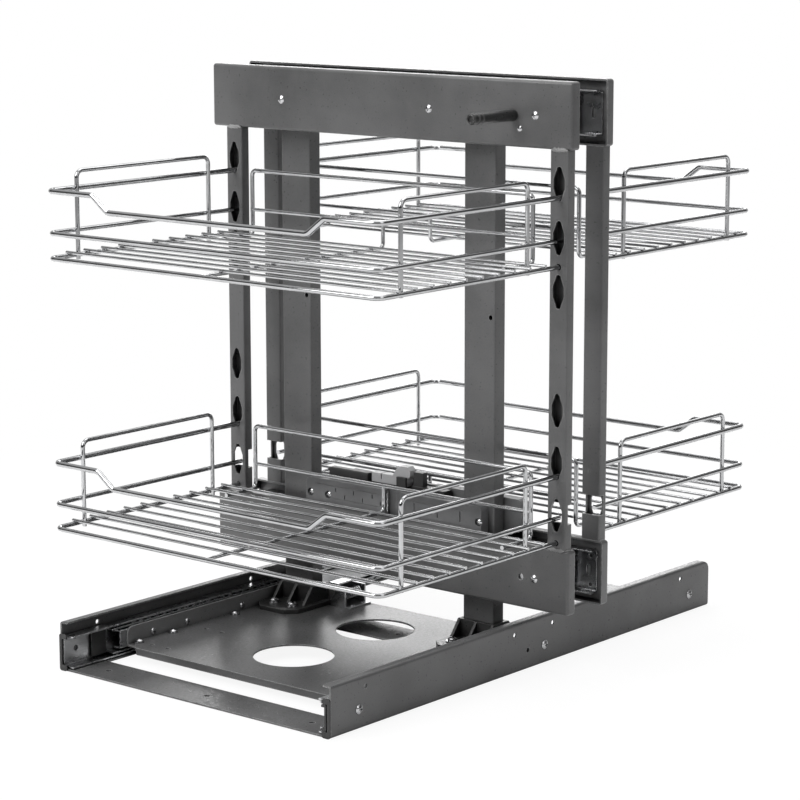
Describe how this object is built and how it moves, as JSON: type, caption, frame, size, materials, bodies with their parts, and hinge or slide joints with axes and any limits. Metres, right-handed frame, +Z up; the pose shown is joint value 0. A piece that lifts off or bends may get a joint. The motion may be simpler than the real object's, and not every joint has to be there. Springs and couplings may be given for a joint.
{
  "type": "pull-out corner cabinet basket unit",
  "caption": "Wire basket unit on telescopic slides for a corner base cabinet: it pulls out of the door, and each of its two frames then slides sideways.",
  "frame": {"origin": "middle of the base between its floor screws, on the cabinet floor", "axes": "+X to the right as seen from the door, +Y into the cabinet, +Z up; the unit pulls out towards -Y"},
  "size_m": [0.383, 0.5115, 0.482],
  "materials": {
    "powder_coat": "fine-textured dark grey powder coat",
    "grey_coat": "satin grey coat",
    "black_coat": "satin black coat",
    "chrome": "bright chrome plate",
    "zinc": "bright zinc plate",
    "black_plastic": "matt black plastic",
    "grey_plastic": "mid-grey plastic",
    "light_plastic": "light grey plastic"
  },
  "bodies": {
    "base": {"left_base_rail": "powder_coat", "right_base_rail": "powder_coat", "front_cross_plate": "powder_coat", "middle_cross_plate": "powder_coat", "rear_cross_plate": "powder_coat", "rail_end_caps": "black_plastic", "base_rail_screws": "chrome", "left_base_channel": "zinc", "right_base_channel": "zinc"},
    "base_beams": {"left_base_beam": "zinc", "right_base_beam": "zinc", "base_slide_buffers": "black_plastic", "base_ball_cages": "chrome"},
    "carriage": {"left_platform_slide": "zinc", "right_platform_slide": "zinc", "left_platform_bracket": "grey_coat", "right_platform_bracket": "grey_coat", "platform": "powder_coat", "platform_screws": "chrome", "left_foot": "black_coat", "right_foot": "black_coat", "foot_bolts": "chrome", "left_post": "powder_coat", "right_post": "powder_coat", "front_damper": "grey_plastic", "rear_damper": "grey_plastic", "damper_screws": "chrome", "damper_carrier": "black_plastic", "platform_latch": "zinc", "latch_spring": "chrome", "front_top_post_channel": "zinc", "front_bottom_post_channel": "zinc", "rear_top_post_channel": "zinc", "rear_bottom_post_channel": "zinc"},
    "catch_lever": {"catch_lever": "light_plastic"},
    "front_slide_beams": {"front_top_beam": "zinc", "front_bottom_beam": "zinc"},
    "front_frame": {"front_top_rail": "powder_coat", "front_bottom_rail": "powder_coat", "front_left_stile": "powder_coat", "front_right_stile": "powder_coat", "front_top_channel": "zinc", "front_bottom_channel": "zinc", "front_screws": "chrome", "front_peg": "black_coat", "front_upper_basket": "chrome", "front_lower_basket": "chrome"},
    "rear_slide_beams": {"rear_top_beam": "zinc", "rear_bottom_beam": "zinc"},
    "rear_frame": {"rear_top_rail": "powder_coat", "rear_bottom_rail": "powder_coat", "rear_left_stile": "powder_coat", "rear_right_stile": "powder_coat", "rear_top_channel": "zinc", "rear_bottom_channel": "zinc", "rear_screws": "chrome", "rear_peg": "black_coat", "rear_upper_basket": "chrome", "rear_lower_basket": "chrome"}
  },
  "joints": [
    {"name": "carriage_slide", "type": "slide", "parent": "base", "child": "carriage", "axis": [0, -1, 0], "range_m": [0, 0.38]},
    {"name": "base_beam_slide", "type": "slide", "parent": "base", "child": "base_beams", "axis": [0, -1, 0], "range_m": [0, 0.19]},
    {"name": "catch_lever_hinge", "type": "hinge", "parent": "carriage", "child": "catch_lever", "pos_m": [0.009, -0.0009, 0.137], "axis": [0, 1, 0], "range_deg": [-6, 6]},
    {"name": "front_frame_slide", "type": "slide", "parent": "carriage", "child": "front_frame", "axis": [1, 0, 0], "range_m": [0, 0.3]},
    {"name": "front_beam_slide", "type": "slide", "parent": "carriage", "child": "front_slide_beams", "axis": [1, 0, 0], "range_m": [0, 0.15]},
    {"name": "rear_frame_slide", "type": "slide", "parent": "carriage", "child": "rear_frame", "axis": [1, 0, 0], "range_m": [0, 0.3]},
    {"name": "rear_beam_slide", "type": "slide", "parent": "carriage", "child": "rear_slide_beams", "axis": [1, 0, 0], "range_m": [0, 0.15]}
  ],
  "couplings": [
    {"joint": "base_beam_slide", "follows": "carriage_slide", "ratio": 0.5},
    {"joint": "front_beam_slide", "follows": "front_frame_slide", "ratio": 0.5},
    {"joint": "rear_beam_slide", "follows": "rear_frame_slide", "ratio": 0.5}
  ]
}
